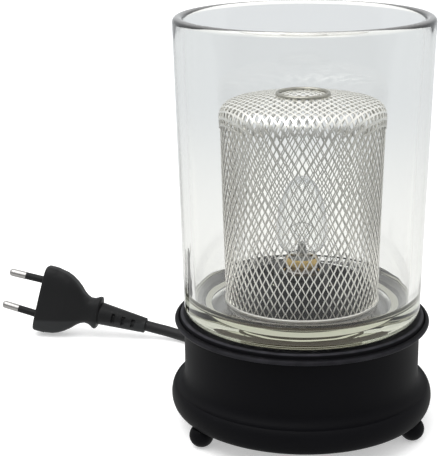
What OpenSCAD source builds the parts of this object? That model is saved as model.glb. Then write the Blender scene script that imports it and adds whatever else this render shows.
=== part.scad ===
// Electric wax melt warmer: a clear glass tumbler with a mesh cage and a small lamp, on a turned black base.
// Millimetres. The origin is on the table under the middle of the base, +Z is up and the front faces -Y.

/* [Base] */
// Widest diameter of the base, at the lower roll
base_d = 114; // [100:1:140]
// Height of the base from its underside to its top deck
base_h = 42.6; // [36:0.2:60]
// Diameter of the waist
waist_d = 102; // [90:0.5:108]
// Diameter of the upper bead
bead_d = 110.2; // [104:0.2:118]
// Height of the upper bead
bead_h = 2.6; // [2:0.1:6]
// How far the bead's round edge bulges out
bead_bulge = 1.5; // [0.8:0.1:2.5]
// Drop from the deck to the top of the bead
bead_drop = 1.65; // [0.8:0.05:3]
// Height of the lower roll
roll_h = 11; // [7:0.5:15]
// How far the lower roll's round edge bulges out
roll_bulge = 2.9; // [1:0.1:5]
// Height of the cove between the lower roll and the waist
cove_h = 4.8; // [2:0.2:8]
// Width of the groove between the deck and the bead
quirk_w = 1; // [0.6:0.1:1.6]
// Depth of that groove below the bead
quirk_depth = 0.8; // [0.4:0.1:1.5]
// Thickness of the top deck
deck_t = 6; // [4:0.5:9]
// Wall of the base at the waist
waist_wall = 11; // [7:0.5:13]
// Thickness of the bottom cover
cover_t = 2; // [1.5:0.1:3]
// Width of the shelf that the bottom cover is screwed to
shelf_w = 7; // [6:0.5:8]
// Gap around the bottom cover
cover_gap = 0.3; // [0.1:0.05:0.6]
// Thread diameter of the three cover screws
cover_screw_d = 2.9; // [2.2:0.1:3.5]
// Length of the cover screws' threads
cover_screw_l = 10; // [6:0.5:14]

/* [Feet] */
// Diameter of the ball feet
foot_d = 10.4; // [8:0.2:14]
// Height of the base's underside above the table
foot_h = 8.4; // [6.5:0.1:9]
// Depth of the flat that each foot stands on
foot_flat = 0.2; // [0.1:0.05:0.5]
// Distance of the feet's middles from the widest edge of the base
foot_inset = 5; // [3:0.5:10]
// Turn of the right-hand foot from the +X side
foot_turn = -23.5; // [-60:0.5:0]
// Diameter of the pegs that hold the feet
peg_d = 3.2; // [2.6:0.1:3.4]
// Length of those pegs
peg_l = 7; // [4:0.5:8]
// Glue gap around and above the pegs
peg_gap = 0.1; // [0.05:0.05:0.3]

/* [Glass] */
// Outer diameter of the glass at its rim
glass_rim_d = 107.5; // [90:0.5:120]
// Outer diameter of the glass above its heel
glass_foot_d = 101.8; // [86:0.2:102]
// Height of the glass
glass_h = 127.5; // [100:0.5:160]
// Wall of the glass
glass_wall = 4.6; // [3:0.1:6]
// Thickness of the glass floor
glass_floor = 6; // [4:0.1:9]
// Radius of the heel
heel_r = 4; // [2:0.5:8]
// Height of the curve from the floor up to the wall inside
glass_dish_h = 5.5; // [3:0.5:8]
// Flat of the floor outside the cage, where that curve starts
glass_flat_w = 1; // [0.5:0.1:3]
// Gap between the hole in the floor and the holder's ring
glass_hole_gap = 1; // [0.5:0.1:2]

/* [Heat shield] */
// Height of the heat shield on the glass floor
shield_h = 7; // [4:0.5:9]
// Wall of the heat shield
shield_t = 1.6; // [1:0.1:1.8]
// Radius of its round edge
shield_edge_r = 3; // [2:0.5:4]
// Gap between the heat shield and the cage's rim band
shield_gap = 1.4; // [1:0.1:3]
// Gap between its hole and the lamp holder
shield_hole_gap = 0.8; // [0.5:0.1:2]

/* [Mesh cage] */
// Outer diameter of the cage at its foot
cage_foot_d = 66; // [58:0.5:74]
// Outer diameter of the cage at its shoulder
cage_top_d = 70; // [60:0.5:78]
// Height of the cage, up to the dome's skin under the ring
cage_h = 88.5; // [75:0.5:105]
// Rise of the domed top from its shoulder to the ring
dome_rise = 2.6; // [1:0.1:6]
// Rise of the dome from the ring to its middle
crown_rise = 1.1; // [0.5:0.1:3]
// Radius of the shoulder
shoulder_r = 5.5; // [3:0.5:8]
// Thickness of the expanded metal
mesh_t = 0.9; // [0.6:0.1:1.5]
// Outer diameter of the wire ring on the dome
top_ring_d = 23; // [18:0.5:32]
// Thickness of that ring
top_ring_t = 1.6; // [1.2:0.1:3]
// How far the ring is sunk into the mesh it is soldered to
ring_sink = 0.5; // [0.3:0.1:0.8]
// Height of the rim band at the foot
rim_band_h = 1.6; // [1:0.1:4]
// Thickness of the rim band
rim_band_t = 0.6; // [0.4:0.1:1]

/* [Lamp] */
// Diameter of the bulb
bulb_d = 22; // [18:0.5:25]
// Length of the bulb with its cap
bulb_l = 52; // [50:0.5:58]
// Wall of the bulb
bulb_wall = 0.6; // [0.4:0.1:1]
// Diameter of the cap over its thread
cap_d = 13.6; // [11.6:0.1:13.9]
// Height of the cap, without its contact
cap_l = 15; // [13:0.5:17]
// Wall of the cap
cap_wall = 0.4; // [0.3:0.05:0.6]
// Rise of one turn of the thread
thread_pitch = 2.82; // [2.2:0.02:3]
// Depth of the thread
thread_depth = 0.45; // [0.3:0.05:0.6]
// Diameter of the black insulator under the cap
insulator_d = 9.4; // [8:0.1:10.4]
// Height of the insulator
insulator_h = 2.2; // [1.6:0.1:3]
// Diameter of the contact under the insulator
tip_d = 4.8; // [4:0.1:6]
// Height of that contact
tip_h = 0.8; // [0.5:0.1:1.2]
// Height of the filament above the cap
filament_h = 12; // [8:0.5:15]
// Half the distance between the filament's ends
filament_reach = 4.5; // [3:0.1:6]
// Thickness of the filament's coil
filament_d = 0.5; // [0.3:0.1:0.8]
// Thickness of the wires that carry it
lead_in_d = 0.6; // [0.4:0.1:0.8]

/* [Lamp holder] */
// Outer diameter of the holder
holder_d = 24; // [22:0.5:28]
// Height of the holder's mouth above the deck
holder_rise = 19.5; // [14:0.5:22]
// Depth of the holder below the deck's underside
holder_drop = 14; // [12:0.5:20]
// Depth of the socket from its mouth to the insulating floor
socket_depth = 14; // [11:0.5:15]
// Thickness of the insulating floor
socket_floor_t = 3; // [2:0.2:4]
// Wall of the brass screw shell
shell_t = 0.5; // [0.4:0.05:0.8]
// Gap between the bulb's thread and the screw shell
thread_gap = 0.4; // [0.3:0.05:0.8]
// Gap between fixed parts of the holder
seat_gap = 0.1; // [0.05:0.05:0.2]
// Diameter of the flange under the deck
flange_d = 34; // [30:0.5:40]
// Thickness of that flange
flange_t = 2.5; // [2:0.1:4]
// Outer diameter of the ring nut on the deck
ring_nut_d = 31; // [29:0.5:36]
// Height of the ring nut
ring_nut_h = 4; // [3:0.2:6]
// Width of the room for the terminals
terminal_room_d = 18.4; // [18:0.1:20]
// Thickness of the cap that closes that room
holder_cap_t = 3; // [2:0.2:4]
// Diameter of the hole for the wires in that cap
wire_hole_d = 7; // [6:0.5:9]
// Diameter of each insulated wire
wire_d = 2.2; // [1.6:0.1:2.6]

/* [Cord and plug] */
// Diameter of the cord
cord_d = 5.6; // [4:0.1:7]
// Direction of the cord's way out, from the +X side
exit_turn = 110; // [100:1:118]
// Height of the cord's way out above the table
exit_z = 15.5; // [15.4:0.1:18]
// Diameter of the strain relief inside the wall
relief_shank_d = 7.6; // [6.5:0.1:8]
// Diameter of the strain relief's shoulder
relief_shoulder_d = 10.6; // [9:0.1:12]
// Diameter of the lip that holds it inside the wall
relief_lip_d = 9.6; // [9:0.1:9.8]
// Thickness of that shoulder, and of the lip inside
relief_lip_t = 2; // [1:0.1:3]
// Length of the tapered sleeve outside the shoulder
relief_l = 22; // [20:0.5:22]
// Diameter of the sleeve's thin end
relief_end_d = 7.2; // [6.4:0.1:8]
// Width of the plug over its face
plug_w = 34.8; // [34:0.1:36]
// Thickness of the plug
plug_t = 13.4; // [12:0.1:14]
// Diameter of the plug's pins
pin_d = 4; // [3.8:0.1:4.8]
// Length of the pins
pin_l = 19; // [18:0.5:20]
// Distance between the pins at the plug's face
pin_spacing = 18.6; // [18:0.1:19]
// Distance between the tips of the pins
pin_tip_spacing = 17.5; // [17:0.1:18]
// Length of the sleeves on the pins
sleeve_l = 10; // [8:0.5:11]
// Diameter of the sleeves
sleeve_d = 3.8; // [3.4:0.1:4]
// Turns in the coil of cord
coil_turns = 5.75; // [3.75:1:7.75]
// Gap between the turns of the coil
coil_gap = 0.6; // [0.5:0.05:1]
// Radius at the middle of the coil's turns
coil_r = 31.7; // [30:0.1:34]
// Width of the tie around the coil
tie_w = 6; // [4:0.5:10]
// Thickness of the tie
tie_t = 0.7; // [0.5:0.1:0.9]

/* [Hidden] */
$fn = 96;
cut = 1;

// Heights of the main seats
base_z = foot_h;
deck_z = base_z + base_h;
cavity_top = deck_z - deck_t;
floor_z = deck_z + glass_floor;
rim_z = deck_z + glass_h;
cage_top_z = floor_z + cage_h;

// The base's outline
base_r = base_d/2;
foot_reach = base_r - foot_inset;
waist_r = waist_d/2;
bead_r = bead_d/2;
cavity_r = waist_r - waist_wall;
shelf_r = cavity_r + shelf_w;
roll_z = base_z + roll_h/2;
bead_z = deck_z - bead_drop - bead_h/2;
cove_r = base_r - roll_bulge*0.62;
cove_z = roll_z + roll_h/2*0.925;
cover_r = shelf_r - cover_gap;
cover_screw_r = cavity_r + shelf_w/2 - cover_gap/2;

// The strain relief sits in a flat pocket cut into the lower roll
pocket_r = base_r - roll_bulge - 0.5;
relief_end = pocket_r + relief_lip_t + relief_l;
shank_gap = 0.2;
lip_in = cavity_r*cos(asin(relief_lip_d/2/cavity_r)) - shank_gap/2;

// The lamp holder, from its mouth down
mouth_z = deck_z + holder_rise;
socket_floor_z = mouth_z - socket_depth;
room_top = socket_floor_z - socket_floor_t;
holder_z = cavity_top - holder_drop;
shell_in_r = cap_d/2 + thread_gap;
shell_out_r = shell_in_r + shell_t;
socket_r = shell_out_r + seat_gap;
block_h = 6;
block_z = room_top - 1.5 - block_h;
block_w = 5;
post_d = 2.4;
live_x = -3;
side_x = 5.5;
live_screw_x = live_x - 1;
side_screw_x = side_x + 0.8;
terminal_screw_d = 2;
terminal_screw_l = 3.5;
terminal_head_d = 3;

// The lamp, from its contact up
contact_top = socket_floor_z + shell_t + 2;
tip_z = contact_top;
insulator_z = tip_z + tip_h;
cap_z = insulator_z + insulator_h;
glass_z = cap_z + cap_l;
bulb_top = tip_z + bulb_l;

// Points on an arc of an ellipse, in the half plane of a turned shape
function arc(r, z, a, b, from, to, n) =
    [for (i = [0:n]) let (t = from + (to - from)*i/n) [r + a*cos(t), z + b*sin(t)]];

// Geometry of a swept tube: one ring of points at each point of the route
function unit(v) = v/norm(v);
function heading(p, i) = unit(p[min(i + 1, len(p) - 1)] - p[max(i - 1, 0)]);
function ring_at(p, i, d, sides, side) =
    let (t = heading(p, i), u = unit(cross(t, side)), v = cross(u, t))
    [for (k = [0:sides - 1]) p[i] + d/2*(cos(360*k/sides)*v - sin(360*k/sides)*u)];

module swept_tube(p, d, sides, side) {
    n = len(p);
    rings = [for (i = [0:n - 1]) each ring_at(p, i, d, sides, side)];
    skin = [for (i = [0:n - 2], k = [0:sides - 1], half = [0, 1])
        let (a = i*sides + k, b = i*sides + (k + 1) % sides)
        half == 0 ? [a, b, b + sides] : [a, b + sides, a + sides]];
    start = [for (k = [1:sides - 2]) [0, k + 1, k]];
    finish = [for (k = [1:sides - 2]) [(n - 1)*sides, (n - 1)*sides + k, (n - 1)*sides + k + 1]];
    polyhedron(points = rings, faces = concat(skin, start, finish), convexity = 10);
}

module tube(d_out, d_in, h) {
    difference() {
        cylinder(d = d_out, h = h);
        translate([0, 0, -cut]) cylinder(d = d_in, h = h + 2*cut);
    }
}

module at_cover_screws() {
    for (a = [30, 150, 270]) rotate(a) translate([cover_screw_r, 0, 0]) children();
}

// Places a shape along the cord's way out: its +Z runs outwards from the middle of the base
module along_exit() {
    translate([0, 0, exit_z]) rotate([0, 90, exit_turn]) children();
}

// The base: turned in one piece, hollowed from below and painted satin black
module base_body() {
    outline = concat(
        [[0, base_z]],
        arc(base_r - roll_bulge, roll_z, roll_bulge, roll_h/2, -90, 67.5, 14),
        arc(cove_r, cove_z + cove_h, waist_r - cove_r, -cove_h, 90, 0, 8),
        [[waist_r, bead_z - bead_h/2]],
        arc(bead_r - bead_bulge, bead_z, bead_bulge, bead_h/2, -90, 90, 12),
        [[bead_r - bead_bulge - quirk_w/2, bead_z + bead_h/2 - quirk_depth],
         [bead_r - bead_bulge - quirk_w, deck_z - quirk_w/2],
         [bead_r - bead_bulge - 1.5*quirk_w, deck_z],
         [0, deck_z]]);
    color([0.11, 0.11, 0.12])
    difference() {
        rotate_extrude() polygon(outline);
        translate([0, 0, base_z - cut]) cylinder(r = shelf_r, h = cover_t + cut);
        translate([0, 0, base_z]) cylinder(r = cavity_r, h = cavity_top - base_z);
        translate([0, 0, cavity_top - cut]) cylinder(d = holder_d + 2*seat_gap, h = deck_t + 2*cut);
        for (k = [0:2]) rotate(foot_turn + 120*k) translate([foot_reach, 0, base_z - cut])
            cylinder(d = peg_d + 2*peg_gap, h = peg_l + peg_gap + cut);
        at_cover_screws() translate([0, 0, base_z]) cylinder(d = cover_screw_d, h = cover_screw_l);
        along_exit() translate([0, 0, cavity_r/2])
            cylinder(d = relief_shank_d + 2*shank_gap, h = base_r);
        along_exit() translate([0, 0, pocket_r])
            cylinder(d = relief_shoulder_d + 2*shank_gap, h = base_r);
    }
}

module bottom_cover() {
    color([0.16, 0.16, 0.17])
    difference() {
        translate([0, 0, base_z]) cylinder(r = cover_r, h = cover_t);
        at_cover_screws() translate([0, 0, base_z - cut])
            cylinder(d = cover_screw_d + 0.5, h = cover_t + 2*cut);
    }
}

// Pan head screws: the heads stand under the cover, the threads bite into the shelf
module cover_screws() {
    head_h = 1.6;
    slot_l = 3.2;
    slot_w = 0.8;
    color([0.55, 0.55, 0.56])
    at_cover_screws() difference() {
        union() {
            translate([0, 0, base_z - head_h]) cylinder(d1 = 4.6, d2 = 5.6, h = head_h);
            translate([0, 0, base_z - cut/2]) cylinder(d = cover_screw_d - 0.1, h = cover_screw_l - cut);
        }
        for (a = [0, 90]) rotate(a) translate([-slot_l/2, -slot_w/2, base_z - head_h - cut])
            cube([slot_l, slot_w, cut + slot_w]);
    }
}

// A ball foot with a flat to stand on, and a peg that is glued into the base
module foot(k) {
    centre_z = foot_d/2 - foot_flat;
    color([0.1, 0.1, 0.11])
    rotate(foot_turn + 120*k) translate([foot_reach, 0, 0]) {
        intersection() {
            translate([0, 0, centre_z]) sphere(d = foot_d);
            cylinder(d = 2*foot_d, h = foot_h);
        }
        translate([0, 0, centre_z]) cylinder(d = peg_d, h = foot_h - centre_z + peg_l);
    }
}

module foot_right() foot(0);
module foot_rear() foot(1);
module foot_left() foot(2);

module lamp_holder() {
    color([0.13, 0.13, 0.13])
    difference() {
        union() {
            translate([0, 0, holder_z]) cylinder(d = holder_d, h = mouth_z - holder_z);
            translate([0, 0, cavity_top - flange_t]) cylinder(d = flange_d, h = flange_t);
        }
        translate([0, 0, socket_floor_z]) cylinder(r = socket_r, h = socket_depth + cut);
        translate([0, 0, holder_z - cut]) cylinder(d = terminal_room_d, h = room_top - holder_z + cut);
        for (x = [0, side_x]) translate([x, 0, room_top - cut])
            cylinder(d = post_d + 2*seat_gap, h = socket_floor_t + 2*cut);
    }
}

module holder_ring_nut() {
    color([0.15, 0.15, 0.15])
    translate([0, 0, deck_z]) difference() {
        tube(ring_nut_d, holder_d + 2*seat_gap, ring_nut_h);
        for (a = [0:30:330]) rotate(a) translate([ring_nut_d/2 + 0.5, 0, -cut])
            cylinder(d = 3, h = ring_nut_h + 2*cut);
    }
}

// The brass shell that takes the bulb's thread stands on the insulating floor by its turned-in lip
module screw_shell() {
    color([0.8, 0.66, 0.33])
    translate([0, 0, socket_floor_z]) {
        tube(2*shell_out_r, 2*shell_in_r, socket_depth - 1);
        tube(2*shell_in_r + shell_t, insulator_d - 1, shell_t);
    }
}

// A terminal: a block with a clamping screw, and a post up through the insulating floor
module terminal(block_x, post_x, screw_x) {
    strap_h = 1;
    strap_z = block_z + block_h - strap_h;
    difference() {
        union() {
            translate([block_x - block_w/2, -block_w/2, block_z]) cube([block_w, block_w, block_h]);
            translate([min(block_x, post_x) - post_d/2, -post_d/2, strap_z])
                cube([abs(block_x - post_x) + post_d, post_d, strap_h]);
            translate([post_x, 0, strap_z]) cylinder(d = post_d, h = socket_floor_z - strap_z);
        }
        translate([screw_x, 0, block_z - cut])
            cylinder(d = terminal_screw_d + 2*seat_gap, h = terminal_screw_l + 2*cut);
    }
}

module centre_contact() {
    color([0.84, 0.7, 0.36]) {
        terminal(live_x, 0, live_screw_x);
        translate([0, 0, socket_floor_z]) cylinder(d = tip_d, h = contact_top - socket_floor_z);
    }
}

module side_contact() {
    color([0.84, 0.7, 0.36]) terminal(side_x, side_x, side_screw_x);
}

module terminal_screws() {
    head_h = 1.4;
    color([0.7, 0.7, 0.7])
    for (x = [live_screw_x, side_screw_x]) translate([x, 0, block_z]) {
        translate([0, 0, -head_h]) cylinder(d = terminal_head_d, h = head_h);
        translate([0, 0, -head_h/2]) cylinder(d = terminal_screw_d, h = terminal_screw_l + head_h/2);
    }
}

// The cap closes the terminal room from below, with a flange against the end of the holder
module holder_cap() {
    color([0.12, 0.12, 0.12])
    translate([0, 0, holder_z]) {
        tube(terminal_room_d - 2*seat_gap, wire_hole_d, holder_cap_t);
        translate([0, 0, -holder_cap_t/2]) tube(holder_d, wire_hole_d, holder_cap_t/2);
    }
}

// The two wires leave the cord's tail side by side and rise into the holder, under their blocks
tail_in = cavity_r/2 - 4;
wire_side = wire_d/2 + 0.3;
out_dir = [cos(exit_turn), sin(exit_turn), 0];
across_dir = [sin(exit_turn), -cos(exit_turn), 0];
function beside_tail(reach, side, z) = reach*out_dir + side*across_dir + [0, 0, z];
module wire(side, block_x) {
    hole_y = 0.6;
    block_y = 1.3;
    swept_tube([
        beside_tail(tail_in, side, exit_z),
        beside_tail(tail_in - 3, side, exit_z),
        beside_tail(tail_in - 8, side, exit_z + 2),
        [side - 1, 1.5, holder_z - 8],
        [side, hole_y, holder_z - 2],
        [side, hole_y, holder_z + holder_cap_t],
        [block_x, block_y, block_z - 3],
        [block_x, block_y, block_z]], wire_d, 8, [1, 0.2, 0.1]);
}

module live_wire() {
    color([0.45, 0.25, 0.12]) wire(-wire_side, live_screw_x + terminal_head_d/2 + wire_d/2);
}

module neutral_wire() {
    color([0.15, 0.3, 0.65]) wire(wire_side, side_screw_x - terminal_head_d/2 - wire_d/2);
}

module cord_tail() {
    color([0.08, 0.08, 0.09])
    along_exit() translate([0, 0, tail_in]) cylinder(d = cord_d, h = lip_in - relief_lip_t - tail_in);
}

// The strain relief is moulded onto the cord: a lip inside the wall, a shank, a shoulder and a tapered
// sleeve with slots that let it bend
module cord_gland() {
    color([0.09, 0.09, 0.1])
    along_exit() {
        translate([0, 0, lip_in - relief_lip_t]) cylinder(d = relief_lip_d, h = relief_lip_t);
        translate([0, 0, lip_in - cut]) cylinder(d = relief_shank_d, h = pocket_r - lip_in + 2*cut);
        translate([0, 0, pocket_r]) cylinder(d = relief_shoulder_d, h = relief_lip_t);
        difference() {
            translate([0, 0, pocket_r + relief_lip_t])
                cylinder(d1 = relief_shoulder_d - 1.2, d2 = relief_end_d, h = relief_l);
            for (k = [0:4], side = [0, 180]) rotate(side + 90*(k % 2))
                translate([relief_end_d/2 - 0.8, -5, pocket_r + relief_lip_t + 3 + 3.6*k])
                cube([5, 10, 1.4]);
        }
    }
}

// A clear tumbler with a thick floor that curves up to the wall. The hole in the floor goes over the
// holder's ring nut
cage_top_r = cage_top_d/2;
cage_foot_r = cage_foot_d/2;
band_in_r = cage_foot_r - mesh_t/2 - rim_band_t;
band_out_r = cage_foot_r - mesh_t/2 + rim_band_t;
module glass_tumbler() {
    top_r = glass_rim_d/2;
    foot_r = glass_foot_d/2;
    lip_r = glass_wall/2;
    flat_r = band_out_r + glass_flat_w;
    outline = concat(
        [[ring_nut_d/2 + glass_hole_gap, deck_z], [foot_r - heel_r, deck_z]],
        arc(foot_r - heel_r, deck_z + heel_r, heel_r, heel_r, -80, 0, 8),
        arc(top_r - lip_r, rim_z - lip_r, lip_r, lip_r, 0, 180, 12),
        arc(flat_r, floor_z + glass_dish_h, foot_r - glass_wall - flat_r, glass_dish_h, 0, -90, 8),
        [[ring_nut_d/2 + glass_hole_gap, floor_z]]);
    color([0.82, 0.88, 0.88, 0.35]) rotate_extrude() polygon(outline);
}

// A moulded black dish that stands on the glass floor inside the cage, over the hole and the ring nut
module heat_shield() {
    shield_r = band_in_r - shield_gap;
    hole_r = holder_d/2 + shield_hole_gap;
    top_z = floor_z + shield_h;
    edge_r = shield_r - shield_edge_r;
    edge_z = top_z - shield_edge_r;
    inner_edge = shield_edge_r - shield_t;
    outline = concat(
        [[hole_r, top_z - shield_t], [hole_r, top_z]],
        arc(edge_r, edge_z, shield_edge_r, shield_edge_r, 90, 0, 8),
        [[shield_r, floor_z], [shield_r - shield_t, floor_z]],
        arc(edge_r, edge_z, inner_edge, inner_edge, 0, 90, 8));
    color([0.1, 0.1, 0.1]) rotate_extrude() polygon(outline);
}

// The cage's wall, shoulder and dome, as one skin of expanded metal
shoulder_z = cage_top_z - dome_rise - shoulder_r;
ring_mid_r = (top_ring_d - top_ring_t)/2;
module mesh_cage() {
    inner_shoulder = shoulder_r - mesh_t;
    crown_z = cage_top_z + crown_rise;
    outline = concat(
        [[cage_foot_r, floor_z + rim_band_h]],
        arc(cage_top_r - shoulder_r, shoulder_z, shoulder_r, shoulder_r, 0, 84, 8),
        [[ring_mid_r, cage_top_z + mesh_t/2], [0, crown_z + mesh_t/2]],
        [[0, crown_z - mesh_t/2], [ring_mid_r, cage_top_z - mesh_t/2]],
        arc(cage_top_r - shoulder_r, shoulder_z, inner_shoulder, inner_shoulder, 84, 0, 8),
        [[cage_foot_r - mesh_t, floor_z + rim_band_h]]);
    color([0.78, 0.76, 0.7]) rotate_extrude() polygon(outline);
}

module cage_top_ring() {
    ring_z = cage_top_z + mesh_t/2 + top_ring_t/2 - ring_sink;
    color([0.8, 0.78, 0.72])
    translate([0, 0, ring_z]) rotate_extrude() translate([ring_mid_r, 0])
        circle(d = top_ring_t, $fn = 32);
}

module cage_rim_band() {
    color([0.82, 0.8, 0.74])
    translate([0, 0, floor_z])
        tube(2*band_out_r, 2*band_in_r, rim_band_h);
}

// The bulb: a clear blown drop on a brass screw cap
cement = 0.05;
cap_in_r = cap_d/2 - thread_depth - cap_wall;
cap_lip_r = insulator_d/2 - 0.6;
neck_r = cap_in_r + cement;
bulb_r = bulb_d/2;
belly_z = glass_z + 9;
module bulb_glass() {
    function skin(t) = concat(
        [[neck_r - t, glass_z - 3], [neck_r - t, glass_z]],
        arc(0, belly_z, bulb_r - t, belly_z - glass_z + 1, -50, 0, 6),
        [for (i = [1:9]) let (s = i/10)
            [(bulb_r - t)*pow(cos(90*s), 0.8), belly_z + (bulb_top - t - belly_z)*pow(sin(90*s), 1.25)]],
        [[0, bulb_top - t]]);
    outer = skin(0);
    inner = skin(bulb_wall);
    color([0.9, 0.92, 0.92, 0.3])
    rotate_extrude() polygon(concat(outer, [for (i = [len(inner) - 1:-1:0]) inner[i]]));
}

module bulb_cap() {
    turns = floor((cap_l - 3.5)/thread_pitch);
    thread_low = cap_z + 0.8;
    function wave(t) = [for (i = [0:4*turns])
        [cap_d/2 - thread_depth/2*(1 - cos(90*i)) - t, thread_low + i*thread_pitch/4]];
    outer = concat([[cap_lip_r, cap_z]], wave(0),
        [[cap_d/2 - thread_depth, glass_z - 1], [cap_d/2 - thread_depth + 0.2, glass_z]]);
    inner = [[cap_lip_r, cap_z + cap_wall], [cap_in_r, cap_z + 1.5], [cap_in_r, glass_z]];
    color([0.85, 0.68, 0.34])
    rotate_extrude() polygon(concat(outer, [for (i = [len(inner) - 1:-1:0]) inner[i]]));
}

module cap_insulator() {
    color([0.07, 0.07, 0.08])
    translate([0, 0, insulator_z]) {
        cylinder(d1 = tip_d + 1.2, d2 = insulator_d, h = insulator_h);
        cylinder(r = cap_lip_r - seat_gap, h = insulator_h + cap_wall);
    }
}

module cap_contact() {
    color([0.75, 0.75, 0.73])
    translate([0, 0, tip_z]) cylinder(d1 = tip_d - 1, d2 = tip_d, h = tip_h);
}

// The stem inside the bulb: a glass flare sealed to the neck, drawn up to a pinch
pinch_z = glass_z + filament_h - 7;
pinch_depth = 2;
module bulb_stem() {
    color([0.8, 0.84, 0.84, 0.5])
    difference() {
        union() {
            translate([0, 0, glass_z - 3]) cylinder(r1 = neck_r - bulb_wall + cement, r2 = 2.2, h = 4);
            translate([0, 0, glass_z + 1]) cylinder(d = 3.2, h = pinch_z - glass_z - 1);
        }
        for (x = [-1, 1]) translate([x, 0, pinch_z - pinch_depth])
            cylinder(d = lead_in_d, h = pinch_depth + cut);
    }
}

module lead_in_wires() {
    top_z = glass_z + filament_h;
    color([0.55, 0.55, 0.55])
    for (x = [-1, 1]) swept_tube([[x, 0, pinch_z - pinch_depth], [x, 0, pinch_z + 0.8],
        [x*filament_reach*0.6, 0, (pinch_z + top_z)/2], [x*filament_reach, 0, top_z]],
        0.9*lead_in_d, 8, [0, 1, 0]);
}

module filament() {
    ends = 14;
    color([0.35, 0.34, 0.33])
    swept_tube([for (i = [0:ends]) let (t = 2*i/ends - 1)
        [filament_reach*t, 0, glass_z + filament_h + 1.8*(1 - t*t)]], filament_d, 8, [0, 1, 0]);
}

// The cord outside: a lead from the strain relief, a tied coil behind the base, and a run to the plug
cord_sides = 10;
loop_sides = 6;
loop_rings = 24;
table_z = cord_d/2 + 0.1;
tie_grip = 0.05;
layer_low = cord_d/2 + tie_t - tie_grip;
layer_step = cord_d + 0.5;
layer_high = layer_low + layer_step;
turn_step = cord_d + coil_gap;
coil_out_r = coil_r + coil_turns/2*turn_step/2;
coil_in_r = coil_out_r - coil_turns/2*turn_step;
sweep = 360*coil_turns;

// Every point of the route is placed from the tip of the strain relief, so the cord follows the base
tip_at = relief_end*out_dir;
function from_tip(x, y, z) = [tip_at[0] + x, tip_at[1] + y, z];
coil_x = tip_at[0] + 34.5;
coil_y = tip_at[1] + 39;

// The plug rests on its lower edge, with its pins tipped up. Its own +X runs out along the pins
plug_turn = 174;
plug_tip = 13;
plug_lean = 10;
plug_neck = 26;
plug_collar = 32.4;
plug_len = 57.4;
rest_at = [11, plug_w/2 - 1, plug_t/2];
plug_face = from_tip(-109.5, 26.1, rest_at[0]*sin(plug_tip)
    + cos(plug_tip)*(rest_at[1]*cos(plug_lean) + rest_at[2]*sin(plug_lean)));
plug_axis = [cos(plug_turn)*cos(plug_tip), sin(plug_turn)*cos(plug_tip), sin(plug_tip)];
plug_back = plug_face - plug_len*plug_axis;

// Radius and height after turning through s degrees: in on the upper layer, out on the lower one
function coil_radius(s) = coil_out_r - turn_step*min(s, sweep - s)/360;
function coil_height(s) = let (c = (s - sweep/2)/90)
    c < -1 ? layer_high : c > 1 ? layer_low : (layer_high + layer_low)/2 - layer_step/2*sin(90*c);
function coil_point(s) =
    [coil_x + coil_radius(s)*cos(180 - s), coil_y + coil_radius(s)*sin(180 - s), coil_height(s)];
coil_steps = ceil(coil_turns*loop_rings);
coil_start = coil_point(0);
coil_end = coil_point(sweep);
coil_path = concat([coil_start - [0, cord_d, 0]],
    [for (i = [0:coil_steps]) coil_point(sweep*i/coil_steps)],
    [coil_end - [cord_d, 0, 0]]);
coil_least = min([for (i = [0:coil_steps], j = [0:coil_steps]) if (j - i > loop_rings*0.6)
    norm(coil_path[i + 1] - coil_path[j + 1])]);
echo(least_gap_in_coil = coil_least - cord_d);

fall = exit_z - layer_high;
lead_path = [from_tip(0, 0, exit_z), from_tip(-1.7, 4.7, exit_z), from_tip(-3.8, 11, exit_z - 0.15*fall),
    from_tip(-5.1, 17, exit_z - 0.5*fall), from_tip(-5.9, 23, exit_z - 0.85*fall),
    coil_path[0] - [0, 5, 0], coil_path[0]];
run_path = [coil_path[len(coil_path) - 1],
    from_tip(16.5, -2.9, layer_low - 0.2), from_tip(2.5, -3.4, table_z),
    from_tip(-10.5, 0.1, table_z), from_tip(-19.5, 5.1, table_z), from_tip(-27.5, 10.6, table_z),
    from_tip(-35.5, 15.6, table_z + 0.3), from_tip(-42.5, 18.6, table_z + 1.2),
    plug_back - 5*plug_axis, plug_back];

module cord_lead() {
    color([0.08, 0.08, 0.09]) swept_tube(lead_path, cord_d, cord_sides, [0, 0, 1]);
}

module cord_coil() {
    color([0.08, 0.08, 0.09]) swept_tube(coil_path, cord_d, loop_sides, [0, 0, 1]);
}

module cord_run() {
    color([0.08, 0.08, 0.09]) swept_tube(run_path, cord_d, cord_sides, [0, 0, 1]);
}

// A flat strip wrapped tight round the coil's bundle of turns, lying on the table under it
module coil_tie() {
    inside_r = coil_in_r - cord_d/2 - 0.4;
    outside_r = coil_out_r + cord_d/2 + 0.4;
    height = layer_high + cord_d/2 - tie_grip;
    color([0.12, 0.12, 0.13])
    translate([coil_x, coil_y, 0]) rotate([0, 0, 40]) translate([0, tie_w/2, 0]) rotate([90, 0, 0])
    linear_extrude(tie_w) difference() {
        translate([inside_r - tie_t, 0]) square([outside_r - inside_r + 2*tie_t, height + tie_t]);
        translate([inside_r, tie_t]) square([outside_r - inside_r, height - tie_t]);
    }
}

module at_plug() {
    translate(plug_face) rotate([0, 0, plug_turn]) rotate([0, -plug_tip, 0]) rotate([plug_lean, 0, 0])
        children();
}

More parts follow.
